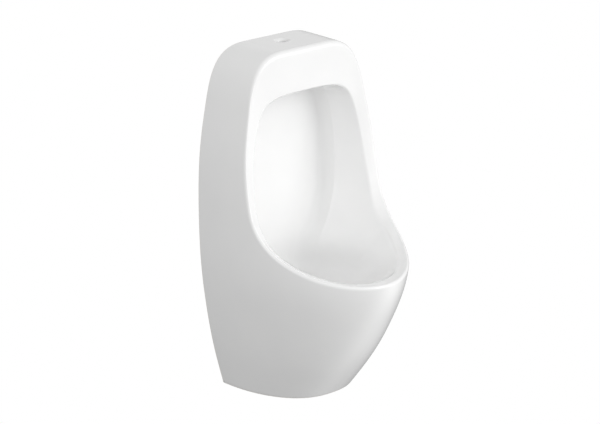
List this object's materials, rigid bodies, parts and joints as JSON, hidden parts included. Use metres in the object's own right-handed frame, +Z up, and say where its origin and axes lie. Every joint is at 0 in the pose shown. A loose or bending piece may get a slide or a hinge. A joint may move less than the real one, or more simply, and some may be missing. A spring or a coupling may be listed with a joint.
{
  "type": "wall hung urinal",
  "caption": "White glazed ceramic wall hung urinal with a deep bowl, projecting lip, rounded brow, top inlet hole, bottle trap and wall hooks.",
  "frame": {"origin": "middle of the hanger screw holes: on the wall plane and the centre line, 575 mm above the body's lower edge", "axes": "+X to the user's right, +Y into the wall, +Z up; the user stands on the -Y side"},
  "size_m": [0.331, 0.3639, 0.64],
  "materials": {
    "china": "gloss",
    "rubber": "matte",
    "chromed": "polished",
    "brass_fitting": "satin",
    "trap_plastic": "satin",
    "steel": "satin"
  },
  "bodies": {
    "urinal": {"china_body": "china", "inlet_seal": "rubber", "inlet_tube": "chromed", "spreader": "chromed", "spreader_washer": "rubber", "spreader_nut": "brass_fitting", "waste_flange": "chromed", "waste_gasket": "rubber", "waste_washer": "rubber", "waste_nut": "brass_fitting", "trap_inlet_nut": "trap_plastic", "trap_inlet_washer": "rubber", "trap_body": "trap_plastic", "trap_dip_tube": "trap_plastic", "trap_outlet_nut": "trap_plastic", "trap_outlet_washer": "rubber", "outlet_pipe": "trap_plastic", "wall_seal": "rubber", "hanger_left": "steel", "hanger_right": "steel", "foot_angle_left": "steel", "foot_angle_right": "steel", "foot_bolts": "steel", "foot_nuts": "steel", "foot_pads": "rubber"},
    "strainer": {"strainer": "chromed"},
    "cup": {"trap_cup": "trap_plastic", "trap_cup_seal": "rubber"},
    "cup_ring": {"trap_cup_ring": "trap_plastic"}
  },
  "joints": [
    {"name": "strainer_lift", "type": "slide", "parent": "urinal", "child": "strainer", "axis": [0, 0, 1], "range_m": [0, 0.06]},
    {"name": "cup_drop", "type": "slide", "parent": "urinal", "child": "cup", "axis": [0, 0, -1], "range_m": [0, 0.01]},
    {"name": "ring_turn", "type": "hinge", "parent": "cup", "child": "cup_ring", "pos_m": [0, -0.092, -0.519], "axis": [0, 0, 1], "range_deg": [0, 900]}
  ],
  "couplings": [
    {"joint": "cup_drop", "follows": "ring_turn", "m_per_rad": 0.00063662}
  ]
}
